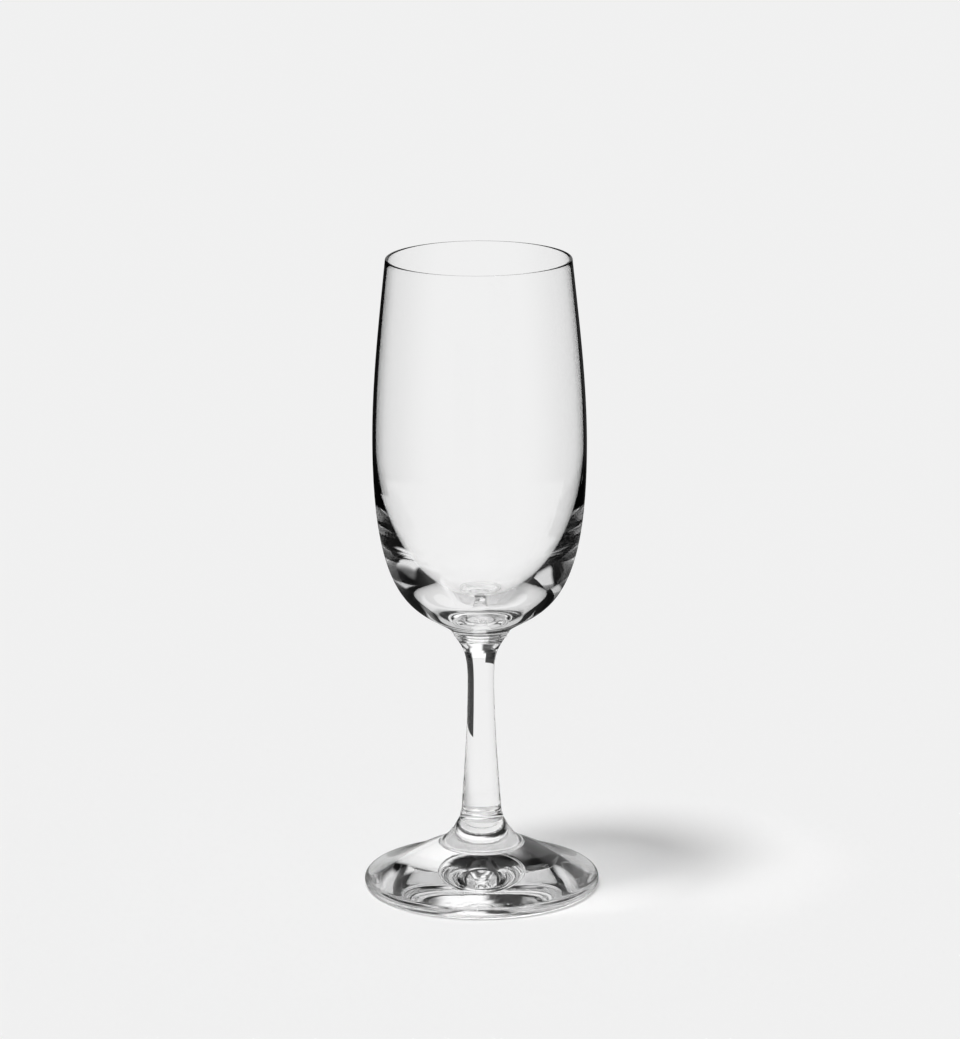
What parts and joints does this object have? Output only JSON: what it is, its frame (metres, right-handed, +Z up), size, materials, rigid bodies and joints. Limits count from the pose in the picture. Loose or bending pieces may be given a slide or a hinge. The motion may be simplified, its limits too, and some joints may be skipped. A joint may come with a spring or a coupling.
{
  "type": "champagne glass",
  "caption": "Clear champagne glass with a tall tulip bowl on a slim solid stem and a round foot with a moulded ring, for serving sparkling wine.",
  "frame": {"origin": "on the table, at the centre of the ring that the foot stands on", "axes": "+Z up along the axis of the glass, -Y towards the viewer of the picture, +X to the right"},
  "size_m": [0.07, 0.07, 0.19],
  "materials": {
    "clear_glass": "clear fire-polished glass"
  },
  "bodies": {
    "root": {"bowl": "clear_glass", "stem": "clear_glass", "foot": "clear_glass"}
  },
  "joints": []
}
